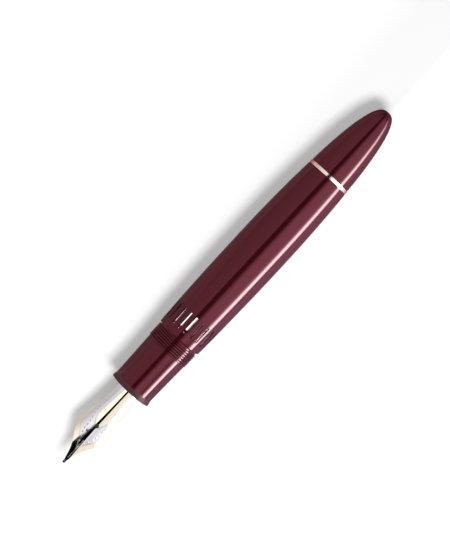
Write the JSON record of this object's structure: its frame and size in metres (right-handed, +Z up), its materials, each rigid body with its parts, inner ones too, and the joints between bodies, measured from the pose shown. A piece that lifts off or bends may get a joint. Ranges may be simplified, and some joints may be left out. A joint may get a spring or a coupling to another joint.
{
  "type": "fountain pen",
  "caption": "Piston-filled fountain pen, uncapped: cigar-shaped barrel with a ribbed ink window, two-tone nib, cap thread, trim ring and turning knob that drives the piston.",
  "frame": {"origin": "middle of the pen's bounding box, at desk level, the pen lying on the belly of its barrel", "axes": "+X along the pen from the nib to the turning knob, +Z up out of the nib's upper face"},
  "size_m": [0.133, 0.0152, 0.0152],
  "materials": {
    "resin_grip": "polished burgundy resin",
    "resin_barrel": "polished burgundy resin",
    "resin_knob": "polished burgundy resin",
    "black_resin": "satin black resin",
    "white_resin": "satin white resin",
    "clear_resin": "clear resin",
    "seal_rubber": "black rubber",
    "nib_gold": "polished pale gold with a bright silver band",
    "hard_metal": "ground hard alloy",
    "steel": "turned steel",
    "brass": "turned brass",
    "rose_gold": "polished rose gold"
  },
  "bodies": {
    "pen_body": {"grip_section": "resin_grip", "nib_collar": "black_resin", "collar_seal": "seal_rubber", "feed": "black_resin", "nib": "nib_gold", "nib_pellet": "hard_metal", "section_gasket": "seal_rubber", "barrel": "resin_barrel", "ink_window": "clear_resin", "trim_ring": "rose_gold", "filler_housing": "brass", "housing_seal": "seal_rubber", "rod_guide": "black_resin"},
    "knob_carriage": {"friction_ring": "seal_rubber"},
    "knob_unit": {"spindle": "steel", "spindle_pin": "steel", "knob_insert": "brass", "knob": "resin_knob"},
    "piston": {"piston_rod": "white_resin", "piston_seal": "white_resin", "seal_retainer": "black_resin"}
  },
  "joints": [
    {"name": "knob_rise", "type": "slide", "parent": "pen_body", "child": "knob_carriage", "axis": [1, 0, 0], "range_m": [0, 0.004]},
    {"name": "knob_turn", "type": "hinge", "parent": "knob_carriage", "child": "knob_unit", "pos_m": [0.05, 0, 0.0076], "axis": [1, 0, 0], "range_deg": [0, 1440]},
    {"name": "piston_travel", "type": "slide", "parent": "pen_body", "child": "piston", "axis": [-1, 0, 0], "range_m": [0, 0.02]}
  ],
  "couplings": [
    {"joint": "knob_rise", "follows": "knob_turn", "m_per_rad": 0.00015915},
    {"joint": "piston_travel", "follows": "knob_turn", "m_per_rad": 0.00079577}
  ]
}
